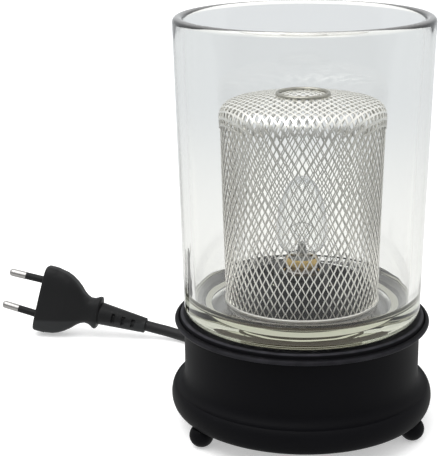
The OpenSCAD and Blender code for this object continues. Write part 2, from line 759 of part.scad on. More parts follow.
module plug_body() {
    half = plug_w/2;
    upper = [[0, half], [-6.7, half - 0.1], [-11, half - 1], [-14, half - 2.2], [-17, half - 4],
        [-19.7, half - 6.2], [-22, half - 8.6], [-24, 7.4], [-plug_neck, 6.8], [-28, 7],
        [-30, 7.7], [-plug_collar + 0.9, 8.5], [-plug_collar, 8.5]];
    flank = [[0, plug_t/2], [-14, plug_t/2], [-24, 5.4], [-28, 5.4], [-plug_collar, 6.2]];
    color([0.14, 0.14, 0.15])
    at_plug() difference() {
        intersection() {
            rotate([90, 0, 0]) linear_extrude(plug_t, center = true)
                polygon(concat(upper, [for (i = [len(upper) - 1:-1:0]) [upper[i][0], -upper[i][1]]]));
            linear_extrude(2*plug_w, center = true)
                polygon(concat(flank, [for (i = [len(flank) - 1:-1:0]) [flank[i][0], -flank[i][1]]]));
        }
        at_pins() translate([0, 0, -pin_root]) cylinder(d = pin_core_d, h = pin_root + cut);
    }
}

module plug_relief() {
    root_d = 11.8;
    end_d = 7.8;
    slots = 3;
    color([0.1, 0.1, 0.11])
    at_plug() difference() {
        translate([-plug_collar, 0, 0]) rotate([0, -90, 0])
            cylinder(d1 = root_d, d2 = end_d, h = plug_len - plug_collar);
        for (k = [0:slots - 1], side = [-1, 1]) translate([-40.5 - 5.2*k, side*4.9, 0])
            cube([1.8, 4, 4.2], center = true);
    }
}

// The pins lean towards each other a little
pin_core_d = 2.6;
pin_root = 6;
pin_lean = atan((pin_spacing - pin_tip_spacing)/2/pin_l);
module at_pins() {
    for (side = [-1, 1]) translate([0, 0, side*pin_spacing/2]) rotate([0, 90 + side*pin_lean, 0]) children();
}

module plug_pins() {
    color([0.75, 0.74, 0.7])
    at_plug() at_pins() {
        translate([0, 0, -pin_root]) cylinder(d = pin_core_d, h = pin_root + sleeve_l + cut);
        translate([0, 0, sleeve_l]) cylinder(d = pin_d, h = pin_l - sleeve_l - pin_d/4);
        translate([0, 0, pin_l - pin_d/4]) cylinder(d1 = pin_d, d2 = pin_d/2, h = pin_d/4);
    }
}

module pin_sleeves() {
    color([0.1, 0.1, 0.1])
    at_plug() at_pins() tube(sleeve_d, pin_core_d, sleeve_l);
}

base_body();
bottom_cover();
cover_screws();
foot_left();
foot_right();
foot_rear();
lamp_holder();
holder_ring_nut();
screw_shell();
centre_contact();
side_contact();
terminal_screws();
holder_cap();
live_wire();
neutral_wire();
cord_tail();
cord_gland();
glass_tumbler();
heat_shield();
mesh_cage();
cage_top_ring();
cage_rim_band();
bulb_glass();
bulb_cap();
cap_insulator();
cap_contact();
bulb_stem();
lead_in_wires();
filament();
cord_lead();
cord_coil();
cord_run();
coil_tie();
plug_body();
plug_relief();
plug_pins();
pin_sleeves();
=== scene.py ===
import math

import bmesh
import bpy
from mathutils import Matrix, Vector


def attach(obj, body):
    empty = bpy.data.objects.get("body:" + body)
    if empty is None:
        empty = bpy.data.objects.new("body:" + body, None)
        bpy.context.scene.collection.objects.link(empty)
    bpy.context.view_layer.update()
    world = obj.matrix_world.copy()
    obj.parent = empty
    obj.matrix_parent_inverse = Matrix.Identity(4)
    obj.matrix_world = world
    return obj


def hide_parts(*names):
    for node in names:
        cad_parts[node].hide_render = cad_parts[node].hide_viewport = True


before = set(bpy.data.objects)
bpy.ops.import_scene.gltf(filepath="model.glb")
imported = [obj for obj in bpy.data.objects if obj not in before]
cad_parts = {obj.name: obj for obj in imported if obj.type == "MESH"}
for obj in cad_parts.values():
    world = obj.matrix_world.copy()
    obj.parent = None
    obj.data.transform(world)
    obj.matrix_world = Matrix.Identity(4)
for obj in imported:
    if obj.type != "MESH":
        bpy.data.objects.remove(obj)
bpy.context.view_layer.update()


# The base: one block of wood, turned to a roll, a cove, a straight waist and a beaded deck, and hollowed from
# below. It is sprayed satin black, with a paler painted highlight along the bead and the lip, where the paint
# is a little smoother too. A round pocket bored into the roll at the back takes the cord's strain relief.
class Tone:
    """A socket in a node tree. Arithmetic on tones adds Math nodes, and add() makes any other node."""

    def __init__(self, tree, socket=None):
        self.tree, self.socket = tree, socket

    def add(self, kind, settings=None, sockets=None, out=0):
        node = self.tree.nodes.new(kind)
        for key, value in (settings or {}).items():
            setattr(node, key, value)
        for key, value in (sockets or {}).items():
            if isinstance(value, Tone):
                self.tree.links.new(value.socket, node.inputs[key])
            else:
                node.inputs[key].default_value = value
        return Tone(self.tree, node.outputs[out] if node.outputs else None)

    def maths(self, operation, *values):
        return self.add("ShaderNodeMath", {"operation": operation}, dict(enumerate(values)))

    def __add__(self, other):
        return self.maths("ADD", self, other)

    def __radd__(self, other):
        return self.maths("ADD", other, self)

    def __sub__(self, other):
        return self.maths("SUBTRACT", self, other)

    def __rsub__(self, other):
        return self.maths("SUBTRACT", other, self)

    def __mul__(self, other):
        return self.maths("MULTIPLY", self, other)

    def __rmul__(self, other):
        return self.maths("MULTIPLY", other, self)

    def __truediv__(self, other):
        return self.maths("DIVIDE", self, other)

    def mix(self, low, high):
        """A colour between low and high, by this tone."""
        low, high = (end if isinstance(end, Tone) else (*end, 1) for end in (low, high))
        return self.add("ShaderNodeMix", {"data_type": "RGBA"}, {0: self, 6: low, 7: high}, 2)

    def between(self, low, high):
        """0 at low, 1 at high, and smooth in between."""
        limits = {"Value": self, "From Min": low, "From Max": high}
        return self.add("ShaderNodeMapRange", {"interpolation_type": "SMOOTHSTEP"}, limits)

    def within(self, low, full, last, high):
        """0 outside low and high, 1 from full to last, and smooth in between."""
        return self.between(low, full) * (1 - self.between(last, high))

    def cloud(self, scale, detail=2.0, stretch=(1, 1, 1)):
        """Noise over the piece, with scale features to the metre."""
        place = self.add("ShaderNodeTexCoord", out="Object")
        place = self.add("ShaderNodeMapping", {}, {"Vector": place, "Scale": stretch})
        return self.add("ShaderNodeTexNoise", {}, {"Vector": place, "Scale": scale, "Detail": detail})

    def place(self, axis):
        """Distance along X, Y or Z in metres."""
        place = self.add("ShaderNodeTexCoord", out="Object")
        return self.add("ShaderNodeSeparateXYZ", {}, {0: place}, axis)

    def radius(self):
        """Distance from the object's own upright axis in metres."""
        x, y = self.place("X"), self.place("Y")
        return self.maths("SQRT", x * x + y * y)


def new_finish(name):
    """An empty material, and the tone that its nodes grow from."""
    finish = bpy.data.materials.new(name)
    finish.use_nodes = True
    finish.node_tree.nodes.clear()
    return finish, Tone(finish.node_tree)


def coat(start, bumps, volume=None, **sockets):
    """Ends a finish in one surface shader. Bumps are (height, strength, distance in metres)."""
    height, strength, depth = bumps
    relief = {"Height": height, "Strength": strength, "Distance": depth}
    values = {key.replace("_", " "): value for key, value in sockets.items()}
    values["Normal"] = start.add("ShaderNodeBump", {}, relief)
    ends = {"Surface": start.add("ShaderNodeBsdfPrincipled", {}, values)}
    if volume:
        ends["Volume"] = volume
    start.add("ShaderNodeOutputMaterial", {}, ends)


black_paint, start = new_finish("black_paint")
patches = start.cloud(24.0, 3.0)
peel = start.cloud(1500.0, 2.0)
turning = start.cloud(420.0, 1.0, (0.02, 0.02, 6.0))
height, radius = start.place("Z"), start.radius()
# Painted highlight: paler lines along the bead and the deck's lip.
bead = radius.between(0.0536, 0.0544) * height.within(0.0464, 0.047, 0.0486, 0.0493)
lip = radius.between(0.051, 0.0518) * height.between(0.0502, 0.0507)
painted_highlight = (0.5 * bead + lip) * start.cloud(160.0, 4.0)
paint = patches.mix((0.0028, 0.0028, 0.0034), (0.0048, 0.0048, 0.006))
coat(start, (peel + 0.6 * turning, 0.3, 0.00006), Base_Color=painted_highlight.mix(paint, (0.06, 0.059, 0.068)),
     Roughness=0.48 + 0.1 * patches - 0.1 * painted_highlight, Specular_IOR_Level=0.05)

MM = 0.001


def arc(r, z, a, b, start, stop, n):
    """Points on an arc of an ellipse, in the half plane of a turned shape."""
    turns = [math.radians(start + (stop - start) * i / n) for i in range(n + 1)]
    return [(r + a * math.cos(t), z + b * math.sin(t)) for t in turns]


def skin(shape, rings, loop=False):
    """Faces from each ring of corners to the next, and in a loop from the last ring to the first."""
    for low, high in zip(rings, rings[1:] + rings[:1] if loop else rings[1:]):
        steps = max(len(low), len(high))
        for k in range(steps):
            n = (k + 1) % steps
            corners = (low[k % len(low)], low[n % len(low)], high[n % len(high)], high[k % len(high)])
            corners = list(dict.fromkeys(corners))
            if len(corners) > 2:
                shape.faces.new(corners)


def turned(outline, steps, loop=True, ripple=None):
    """A shape turned from an outline in millimetres. Where given, ripple sets the radius at each turn."""
    shape = bmesh.new()
    rings = []
    for r, z in outline:
        ring = []
        for k in range(steps if r > 0 else 1):
            turn = 2 * math.pi * k / steps
            reach = (ripple(r, z, turn) if ripple else r) * MM
            ring.append(shape.verts.new((reach * math.cos(turn), reach * math.sin(turn), z * MM)))
        rings.append(ring)
    skin(shape, rings, loop)
    return shape


roll_line = [(47, 8.6), (47.2, 8.4), (53, 8.4)] + arc(54.1, 13.9, 2.9, 5.5, -90, 67.5, 26)
cove_line = arc(55.2, 23.79, -4.2, -4.8, 90, 0, 14)
waist_line = [(51, 30), (51, 38), (51, 46.15)] + arc(51.6, 46.15, -0.6, 0.6, 0, 90, 5)
bead_line = arc(53.6, 48.05, 1.5, 1.3, -90, 90, 20)
lip_line = [(53.36, 49.18), (53.14, 48.72), (52.98, 48.62), (52.86, 48.85), (52.74, 49.6), (52.62, 50.3),
            (52.44, 50.74), (52.1, 50.95), (51.7, 51)]
deck_line = [(34, 51), (12.4, 51), (12.1, 50.7), (12.1, 45.2), (12.3, 45)]
hollow_line = [(26, 45), (39.5, 45), (40, 44.5), (40, 28), (40, 10.4), (47, 10.4)]
base_shape = turned(roll_line + cove_line + waist_line + bead_line + lip_line + deck_line + hollow_line, 192)


def placed(at, *turns):
    """The matrix that turns a shape by (degrees, axis) pairs, the last one first, and moves it to a point."""
    matrix = Matrix.Translation(Vector(at) * MM)
    for angle, axis in turns:
        matrix = matrix @ Matrix.Rotation(math.radians(angle), 4, axis)
    return matrix


EXIT_Z = 15.5
# Lays a turned shape's axis along the cord's way out of the base.
EXIT = placed((0, 0, EXIT_Z), (110, "Z"), (90, "Y"))
pocket = turned([(0, 30), (4, 30), (4, 53.6), (5.5, 53.6), (5.5, 62), (0, 62)], 48, loop=False)
bmesh.ops.transform(pocket, matrix=EXIT, verts=pocket.verts)

STAGE = bpy.context.scene


def on_stage(name, data):
    """A new object in the scene, at the origin."""
    made = bpy.data.objects.new(name, data)
    STAGE.collection.objects.link(made)
    return made


def as_mesh(name, shape):
    """A mesh made from a shape, which is used up."""
    mesh = bpy.data.meshes.new(name)
    shape.to_mesh(mesh)
    shape.free()
    return mesh


def evaluated(blank):
    """The shape that an object's modifiers make. The object is used up."""
    graph = bpy.context.evaluated_depsgraph_get()
    mesh = bpy.data.meshes.new_from_object(blank.evaluated_get(graph), depsgraph=graph)
    blank.modifiers.clear()
    bpy.data.objects.remove(blank)
    shape = bmesh.new()
    shape.from_mesh(mesh)
    bpy.data.meshes.remove(mesh)
    return shape


def bored(shape, tool):
    """The shape with the tool's room cut out of it."""
    for part in (shape, tool):
        bmesh.ops.recalc_face_normals(part, faces=part.faces)
    blank, cutter = (on_stage("blank", as_mesh("blank", part)) for part in (shape, tool))
    cut = blank.modifiers.new("cut", "BOOLEAN")
    cut.object, cut.operation, cut.solver = cutter, "DIFFERENCE", "EXACT"
    result = evaluated(blank)
    bpy.data.objects.remove(cutter)
    return result


SEAM = 1e-7


def piece(name, shape, finish, body, slot, *nodes, sharp=35):
    """Closes a shape's seams, smooths it, coats it, and sets it on its body in place of CAD nodes."""
    bmesh.ops.remove_doubles(shape, verts=shape.verts, dist=SEAM)
    bmesh.ops.recalc_face_normals(shape, faces=shape.faces)
    mesh = as_mesh(name, shape)
    mesh.shade_smooth()
    mesh.set_sharp_from_angle(angle=math.radians(sharp))
    mesh.materials.append(finish)
    made = on_stage(name, mesh)
    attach(made, body)
    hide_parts(*nodes)
    return made


piece("turned_base", bored(base_shape, pocket), black_paint, "base", "black_wood", "base_body")


# The bottom cover: a disc of pressed black fibre board that closes the hollow base. Three zinc plated pan
# head screws with cross slots hold it to a shelf in the wood.
fibre_board, start = new_finish("fibre_board")
fibres = start.cloud(900.0, 5.0, (1, 0.25, 1))
coat(start, (fibres, 0.5, 0.0001), Base_Color=fibres.mix((0.012, 0.012, 0.013), (0.032, 0.031, 0.03)),
     Roughness=0.75 + 0.15 * fibres)

zinc, start = new_finish("zinc")
spangle = start.cloud(700.0, 3.0)
coat(start, (spangle, 0.15, 0.00005), Base_Color=spangle.mix((0.46, 0.47, 0.49), (0.66, 0.66, 0.65)),
     Roughness=0.28 + 0.2 * spangle, Metallic=1.0)


def dress(finish, *nodes):
    """Gives CAD nodes that keep their own shape their finish."""
    for node in nodes:
        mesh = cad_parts[node].data
        mesh.materials.clear()
        mesh.materials.append(finish)


dress(fibre_board, "bottom_cover")
dress(zinc, "cover_screws", "terminal_screws")


# The three feet: turned wooden balls, painted with the base. Each stands on a small flat, and a peg glued
# into the underside holds it. One ball is turned, and nodes set it at three places round the base.
def node_tree(name, **inputs):
    """An empty geometry tree with named inputs, and the tone of each input."""
    tree = bpy.data.node_groups.new(name, "GeometryNodeTree")
    tree.interface.new_socket(name="Geometry", in_out="INPUT", socket_type="NodeSocketGeometry")
    tree.interface.new_socket(name="Geometry", in_out="OUTPUT", socket_type="NodeSocketGeometry")
    for key, kind in inputs.items():
        tree.interface.new_socket(name=key, in_out="INPUT", socket_type="NodeSocket" + kind)
    group = tree.nodes.new("NodeGroupInput")
    return Tone(tree), {socket.name: Tone(tree, socket) for socket in group.outputs if socket.name}


def end_tree(start, instances, finish):
    """Ends a geometry tree: instances made real, and the finish set."""
    real = start.add("GeometryNodeRealizeInstances", {}, {"Geometry": instances})
    done = start.add("GeometryNodeSetMaterial", {}, {"Geometry": real, "Material": finish})
    start.add("NodeGroupOutput", {}, {"Geometry": done})


def grown(shape, start, **values):
    """Runs a geometry tree on a shape, and gives back what it makes as a plain shape."""
    blank = on_stage("blank", as_mesh("blank", shape))
    nodes = blank.modifiers.new("nodes", "NODES")
    nodes.node_group = start.tree
    for socket in start.tree.interface.items_tree:
        if socket.in_out == "INPUT" and socket.name in values:
            nodes[socket.identifier] = values[socket.name]
    return evaluated(blank)


start, sizes = node_tree("ball_feet", Reach="Float", Turn="Vector", Finish="Material")
circle = start.add("GeometryNodeMeshCircle", {}, {"Vertices": 3, "Radius": sizes["Reach"]})
places = start.add("GeometryNodeTransform", {}, {"Geometry": circle, "Rotation": sizes["Turn"]})
balls = start.add("GeometryNodeInstanceOnPoints", {}, {"Points": places, "Instance": sizes["Geometry"]})
end_tree(start, balls, sizes["Finish"])
ball_line = [(0, 0), (1.2, 0)] + arc(0, 5.0, 5.2, 5.2, -74, 40, 20)
peg_line = [(3.85, 8.4), (1.6, 8.45), (1.6, 15.3), (1.2, 15.4), (0, 15.4)]
feet = grown(turned(ball_line + peg_line, 48, loop=False), start, Reach=52 * MM,
             Turn=(0, 0, math.radians(-23.5)), Finish=black_paint)
piece("ball_feet", feet, black_paint, "base", "black_wood", "foot_left", "foot_right", "foot_rear")


# The lamp holder: moulded black phenolic with a threaded neck, clamped to the deck by a ring nut with finger
# notches. It holds a brass shell with a rolled thread and brass contacts with screws, and a cap closes it.
phenolic, start = new_finish("phenolic")
flow = start.cloud(260.0, 4.0, (1, 1, 0.4))
coat(start, (start.cloud(2600.0), 0.12, 0.00005), Roughness=0.36 + 0.16 * flow,
     Base_Color=flow.mix((0.008, 0.008, 0.008), (0.018, 0.017, 0.016)))

brass, start = new_finish("drawn_brass")
tarnish = start.cloud(190.0, 5.0)
drawing = start.cloud(2400.0, 2.0, (1, 1, 0.05))
coat(start, (drawing, 0.1, 0.00003), Base_Color=tarnish.mix((0.86, 0.62, 0.26), (0.62, 0.4, 0.14)),
     Roughness=0.2 + 0.22 * tarnish, Metallic=1.0)


def span(low, high, step):
    """Evenly spaced heights from low to high."""
    n = max(1, round((high - low) / step))
    return [low + (high - low) * i / n for i in range(n + 1)]


def thread(*radii, pitch, depth, low, high):
    """A ripple for turned(): a round thread on some radii, that fades over a millimetre at each end."""
    def shaped(r, z, turn):
        fade = max(0.0, min(1.0, z - low, high - z)) if r in radii else 0.0
        return r - depth * fade * (0.5 - 0.5 * math.cos(2 * math.pi * z / pitch - turn))
    return shaped


NECK_R, DECK_UNDER = 12, 45
flange_line = [(9.2, 31.2), (9.4, 31), (11.8, 31), (NECK_R, 31.2), (NECK_R, 42.5), (16.7, 42.5), (17, 42.8),
               (17, 44.8), (16.8, DECK_UNDER)]
mouth_line = [(11.8, 70.3), (11.4, 70.5), (8.4, 70.5), (8, 70.3), (7.8, 69.9), (7.8, 56.5), (3, 56.5),
              (3, 53.5), (9.2, 53.5)]
neck_line = flange_line + [(NECK_R, z) for z in span(DECK_UNDER, 69.9, 0.35)] + mouth_line
neck_thread = thread(NECK_R, pitch=1.6, depth=0.45, low=45.4, high=69.5)
piece("holder_neck", turned(neck_line, 96, ripple=neck_thread), phenolic, "base", "phenolic", "lamp_holder")

NOTCH_AT, NOTCH_R, NOTCH_TURN, EDGE_FROM = 16, 1.5, math.radians(30), 15


def notched(r, z, turn):
    """A ripple for the ring nut: twelve round finger notches in its edge."""
    off = NOTCH_AT * math.sin(turn - NOTCH_TURN * round(turn / NOTCH_TURN))
    if r < EDGE_FROM or abs(off) >= NOTCH_R:
        return r
    return min(r, math.sqrt(NOTCH_AT ** 2 - off * off) - math.sqrt(NOTCH_R ** 2 - off * off))


nut_line = [(12.1, 51.02), (15.2, 51.02), (15.5, 51.3), (15.5, 54.5), (15.15, 54.9), (14.2, 55), (12.6, 55),
            (12.1, 54.6)]
piece("ring_nut", turned(nut_line, 240, ripple=notched), phenolic, "base", "phenolic", "holder_ring_nut")

LAMP_PITCH, SHELL_OUT, SHELL_IN = 2.82, 7.7, 7.24
shell_heights = span(57.2, 69.2, 0.3)
shell_line = [(4.4, 56.52), (7.4, 56.52), (SHELL_OUT, 56.8)] + [(SHELL_OUT, z) for z in shell_heights] \
    + [(SHELL_OUT, 69.5), (SHELL_IN, 69.5)] + [(SHELL_IN, z) for z in reversed(shell_heights)] \
    + [(7.2, 57), (4.4, 57)]
shell_thread = thread(SHELL_OUT, SHELL_IN, pitch=LAMP_PITCH, depth=0.34, low=57.3, high=69.1)
piece("rolled_shell", turned(shell_line, 72, ripple=shell_thread), brass, "base", "brass", "screw_shell")
dress(brass, "centre_contact", "side_contact")
dress(phenolic, "holder_cap")


# The wires: two stranded cores in brown and blue insulation. They lie inside the closed base, and run from
# the cord's tail up to the holder's terminals.
def insulation(name, low, high):
    """Smooth extruded insulation, a little uneven in colour."""
    finish, start = new_finish(name)
    drift = start.cloud(300.0, 3.0)
    coat(start, (start.cloud(1800.0), 0.1, 0.00004), Base_Color=drift.mix(low, high),
         Roughness=0.34 + 0.12 * drift)
    return finish


dress(insulation("brown_core", (0.16, 0.055, 0.018), (0.24, 0.085, 0.03)), "live_wire")
dress(insulation("blue_core", (0.015, 0.06, 0.3), (0.025, 0.1, 0.42)), "neutral_wire")


# The glass: a pressed clear tumbler with a thick floor and a fire polished rim. A hole in its floor goes over
# the ring nut, and it stands loose on the deck on a ring inside its heel. The hole's edge, the foot ring and
# the underside near the hole are ground. A pale painted glow, for the light that the glass carries there,
# lies on a line round the hole's edge, on the underside round the hole and on the foot ring, fading towards
# the front. The rest of the hole's edge and a band of the underside at the front are painted shade, dark
# brown. The rim carries a faint painted glow as well.
clear_glass, start = new_finish("clear_glass")
waves = start.cloud(70.0, 1.0, (1, 1, 0.12))
tint = start.add("ShaderNodeVolumeAbsorption", {}, {"Color": (0.952, 0.954, 0.934, 1), "Density": 100.0})
# Higher up, the glass is drawn a little greyer and bluer. The rim carries a faint painted glow.
rim_glow = start.place("Z").between(0.1774, 0.1784)
coat(start, (waves, 0.12, 0.0012), tint, Roughness=0.0, IOR=1.5, Transmission_Weight=1.0,
     Base_Color=start.place("Z").between(0.06, 0.17).mix((1, 1, 1), (0.985, 0.99, 0.992)),
     Emission_Color=rim_glow.mix((0, 0, 0), (0.16, 0.16, 0.16)), Emission_Strength=1.0)

ground_edge_glow, start = new_finish("ground_edge_glow")
scratches = start.cloud(1200.0, 4.0, (1, 1, 6.0))
height, radius = start.place("Z"), start.radius()
# Pale with a painted glow where the mask below is high: a line round the hole's edge, the underside round the
# hole and the foot ring, fading at the front. Elsewhere painted shade, dark brown.
line = height.within(0.0549, 0.0551, 0.0558, 0.056)
under = (1 - height.between(0.0516, 0.0518)) * (1 - radius.between(0.025, 0.0254))
foot = 0.45 * radius.between(0.0398, 0.04) * start.place("Y").between(-0.036, -0.02)
frost_and_glow = line + under + foot
coat(start, (scratches, 0.3, 0.00008), Base_Color=frost_and_glow.mix((0.06, 0.05, 0.036), (0.5, 0.5, 0.43)),
     Emission_Color=frost_and_glow.mix((0.035, 0.03, 0.02), (0.54, 0.55, 0.47)), Emission_Strength=1.0,
     Roughness=0.6 + 0.2 * scratches)


def straight(first, last, n):
    """Points between two points, in n equal steps, without the ends."""
    return [tuple(a + (b - a) * k / n for a, b in zip(first, last)) for k in range(1, n)]


HOLE_R = 17.5
under_line = [(17.4, 51.55), (26, 51.52), (30, 51.5), (33, 51.43), (38.7, 51.22), (40, 51.1), (40.6, 51.02),
              (43.4, 51.02), (44, 51.1), (46.9, 51.1)]
heel_line = arc(46.9, 55, 4, 3.9, -82, 0, 14)
outer_line = straight((50.9, 55), (53.75, 176.2), 16)
rim_line = arc(51.45, 176.2, 2.3, 2.3, 0, 180, 20)
inner_line = straight((49.15, 176.2), (46.3, 62.5), 16)
floor_line = arc(34.15, 62.5, 12.15, 5.5, 0, -90, 24) + [(33, 57), (26, 57), (HOLE_R, 57)]
edge_line = arc(HOLE_R, 56, -1, 1, 90, 0, 5) + arc(HOLE_R, 52.5, -1, -0.95, 0, 80, 5)
tumbler = under_line + heel_line + outer_line + rim_line + inner_line + floor_line + edge_line
glass = piece("tumbler", turned(tumbler, 224), clear_glass, "glass", "clear_glass", "glass_tumbler")
glass.data.materials.append(ground_edge_glow)
# The ground finish goes on the hole's edge and parts of the underside. A band of the underside at the front
# gets only its dark brown painted shade.
for face in glass.data.polygons:
    x, y, z = face.center / MM
    out = math.hypot(x, y)
    hole_edge, hole_border, foot_ring = out < HOLE_R - 0.05, out < 26, 39.9 < out < 43.9
    front_border, underside = 33 < out < 40 and y < -20, z < 51.6
    face.material_index = int(hole_edge or (underside and (hole_border or foot_ring or front_border)))


# The heat shield: a shallow dish moulded in black phenolic. It stands on the glass floor inside the cage,
# over the hole and the ring nut, and the holder's neck comes up through the hole in its middle.
matt_black, start = new_finish("matt_black")
dust = start.cloud(420.0, 4.0)
coat(start, (start.cloud(2200.0), 0.2, 0.00006), Roughness=0.58 + 0.14 * dust, Specular_IOR_Level=0.12,
     Base_Color=dust.mix((0.004, 0.004, 0.0045), (0.01, 0.01, 0.0105)))
dish_top = [(12.8, 62.4), (12.8, 63.7), (13.1, 64), (15.2, 64), (15.5, 63.75), (16.3, 63.75), (16.6, 64),
            (22, 64)]
dish_side = arc(27.55, 61, 3, 3, 90, 0, 12) + [(30.55, 57.3), (30.3, 57.02), (29.1, 57.02), (28.95, 57.2)]
dish_inside = arc(27.55, 61, 1.4, 1.4, 0, 90, 6) + [(22, 62.4)]
dish = turned(dish_top + dish_side + dish_inside, 128)
piece("moulded_dish", dish, matt_black, "glass", "phenolic", "heat_shield")


# The cage: expanded metal, nickel plated. A strip is rolled to the wall, and a disc is pressed to a dome
# whose turned-down edge grips the wall. A wire ring is soldered on the dome, and a folded band closes the
# wall's lower edge. Nodes repeat one bond of the metal, with the two strands that rise from it.
nickel, start = new_finish("nickel_mesh")
plating = start.cloud(150.0, 4.0)
sheared = start.cloud(1900.0, 2.0)
# Painted shade: the wall is drawn darker through its middle, from about 75 to 142 mm up, than below and on
# the dome.
painted_shade_band = start.place("Z").within(0.075, 0.1, 0.134, 0.142)
bright = plating.mix((0.93, 0.915, 0.87), (1, 0.985, 0.94))
coat(start, (sheared, 0.25, 0.00006), Base_Color=painted_shade_band.mix(bright, (0.64, 0.628, 0.59)),
     Roughness=0.24 + 0.14 * sheared, Metallic=0.95)

PITCH, STRAND_T, BOND, EASE, WELD = 3.28, 0.42, 0.05, 0.15, 2e-6
TWIST_ACROSS, TWIST_OUT, WAVE_OUT = 0.04, 0.04, 0.06


def bond(wide):
    """A bond and its two strands, in steps of the lattice, with each corner's offsets as attributes."""
    made = bmesh.new()
    across = made.verts.layers.float.new("across")
    outward = made.verts.layers.float.new("outward")
    for side in (1, -1):
        rings = []
        for t in (0, 0.25, 0.5, 0.75, 1):
            lean = (1 - EASE) * t + EASE * t * t * (3 - 2 * t)
            twist, wave = math.sin(math.pi * t), math.sin(2 * math.pi * t)
            ring = []
            for a, b in ((-1, -1), (1, -1), (1, 1), (-1, 1)):
                corner = made.verts.new((side * (BOND + (0.5 - 2 * BOND) * lean), t, 0))
                corner[across] = side * (a * wide / 2 + TWIST_ACROSS * b * twist) * MM
                corner[outward] = (b * STRAND_T / 2 + WAVE_OUT * wave - TWIST_OUT * a * twist) * MM
                ring.append(corner)
            rings.append(ring)
        skin(made, rings)
    return made


def sheet(name, domed):
    """A tree that lays bonds out flat, each row half a step aside, and keeps those within Most of the middle.

    It forms the sheet to a section. Side is 1 or -1, so that outward offsets point out of the cage.
    """
    start, sizes = node_tree(name, Columns="Int", Rows="Int", Pitch="Float", Rise="Float", Most="Float",
                             Side="Float", Section="Object", Finish="Material")
    grid = start.add("GeometryNodeMeshGrid", {}, {
        "Size X": sizes["Columns"] - 1, "Size Y": sizes["Rows"] - 1,
        "Vertices X": sizes["Columns"], "Vertices Y": sizes["Rows"]})
    spot = start.add("GeometryNodeInputPosition")
    wide = start.add("GeometryNodeInputNamedAttribute", {}, {"Name": "across"})
    out = start.add("GeometryNodeInputNamedAttribute", {}, {"Name": "outward"}) * sizes["Side"]
    u, v = (start.add("ShaderNodeSeparateXYZ", {}, {0: spot}, axis) for axis in (0, 1))
    half = (sizes["Rows"] - 1) / 2
    aside = start.maths("MODULO", start.maths("ROUND", v + half), 2) * 0.5
    aside = start.add("ShaderNodeCombineXYZ", {}, {0: aside})
    laid = start.add("GeometryNodeSetPosition", {}, {"Geometry": grid, "Offset": aside})
    x, y = u * sizes["Pitch"], v * sizes["Rise"]
    kept = start.maths("LESS_THAN", start.maths("SQRT", x * x + y * y), sizes["Most"])
    strands = start.add("GeometryNodeInstanceOnPoints", {}, {
        "Points": laid, "Selection": kept, "Instance": sizes["Geometry"]})
    strands = start.add("GeometryNodeRealizeInstances", {}, {"Geometry": strands})
    x = x + wide
    if domed:
        along, turn = start.maths("SQRT", x * x + y * y), start.maths("ARCTAN2", y, x)
    else:
        along, turn = y + half * sizes["Rise"], x * (2 * math.pi) / (sizes["Columns"] * sizes["Pitch"])
    section = start.add("GeometryNodeObjectInfo", {}, {"Object": sizes["Section"]}, "Geometry")
    spots = {"Curves": section, "Length": along}
    point, slope = (start.add("GeometryNodeSampleCurve", {"mode": "LENGTH"}, spots, value)
                    for value in ("Position", "Tangent"))
    r, ahead = (start.add("ShaderNodeSeparateXYZ", {}, {0: value}, 0) for value in (point, slope))
    z, up = (start.add("ShaderNodeSeparateXYZ", {}, {0: value}, 2) for value in (point, slope))
    reach = r + out * up
    formed = start.add("ShaderNodeCombineXYZ", {}, {
        0: reach * start.maths("COSINE", turn), 1: reach * start.maths("SINE", turn), 2: z - out * ahead})
    formed = start.add("GeometryNodeSetPosition", {}, {"Geometry": strands, "Position": formed})
    end_tree(start, formed, sizes["Finish"])
    return start


def open_line(name, points):
    """A curve of one open spline through points in millimetres."""
    curve = bpy.data.curves.new(name, "CURVE")
    curve.dimensions = "3D"
    spline = curve.splines.new("POLY")
    spline.points.add(len(points) - 1)
    for knot, at in zip(spline.points, points):
        knot.co = (*(Vector(at) * MM), 1)
    spline.use_smooth = True
    return curve


def formed_sheet(name, line, wide, domed, **sizes):
    """The strands of one blank of the sheet, formed to a line in the half plane of a turned shape."""
    section = on_stage(name, open_line(name, [(r, 0, z) for r, z in line]))
    made = grown(bond(wide), sheet(name, domed), Pitch=PITCH * MM, Section=section, Finish=nickel, **sizes)
    bpy.data.objects.remove(section)
    bmesh.ops.remove_doubles(made, verts=made.verts, dist=WELD)
    bmesh.ops.holes_fill(made, edges=[e for e in made.edges if e.is_boundary], sides=8)
    return made


def joined(*shapes):
    """Several shapes as one."""
    whole = bmesh.new()
    for shape in shapes:
        mesh = as_mesh("blank", shape)
        whole.from_mesh(mesh)
        bpy.data.meshes.remove(mesh)
    return whole


WALL_STRAND, DOME_STRAND, WALL_ROWS, NO_EDGE = 0.44, 0.85, 28, 1.0
wall_line = [(32.6, 58.2), (34.5, 137.4), (34.46, 138.0), (34.39, 138.44)]
wall_length = sum(math.dist(a, b) for a, b in zip(wall_line, wall_line[1:]))
wall = formed_sheet("cage_wall", wall_line, WALL_STRAND, domed=False, Columns=64, Rows=WALL_ROWS, Side=1.0,
                    Most=NO_EDGE, Rise=wall_length / WALL_ROWS * MM)
dome_line = [(0, 146.6), (11.6, 145.5)] + arc(29.5, 137.4, 5.45, 5.45, 84, 0, 16) + [(34.82, 131.8)]
dome = formed_sheet("cage_dome", dome_line, DOME_STRAND, domed=True, Columns=31, Rows=33, Side=-1.0,
                    Most=42.4 * MM, Rise=2.86 * MM)
piece("mesh_strands", joined(wall, dome), nickel, "cage", "nickel_mesh", "mesh_cage", sharp=40)

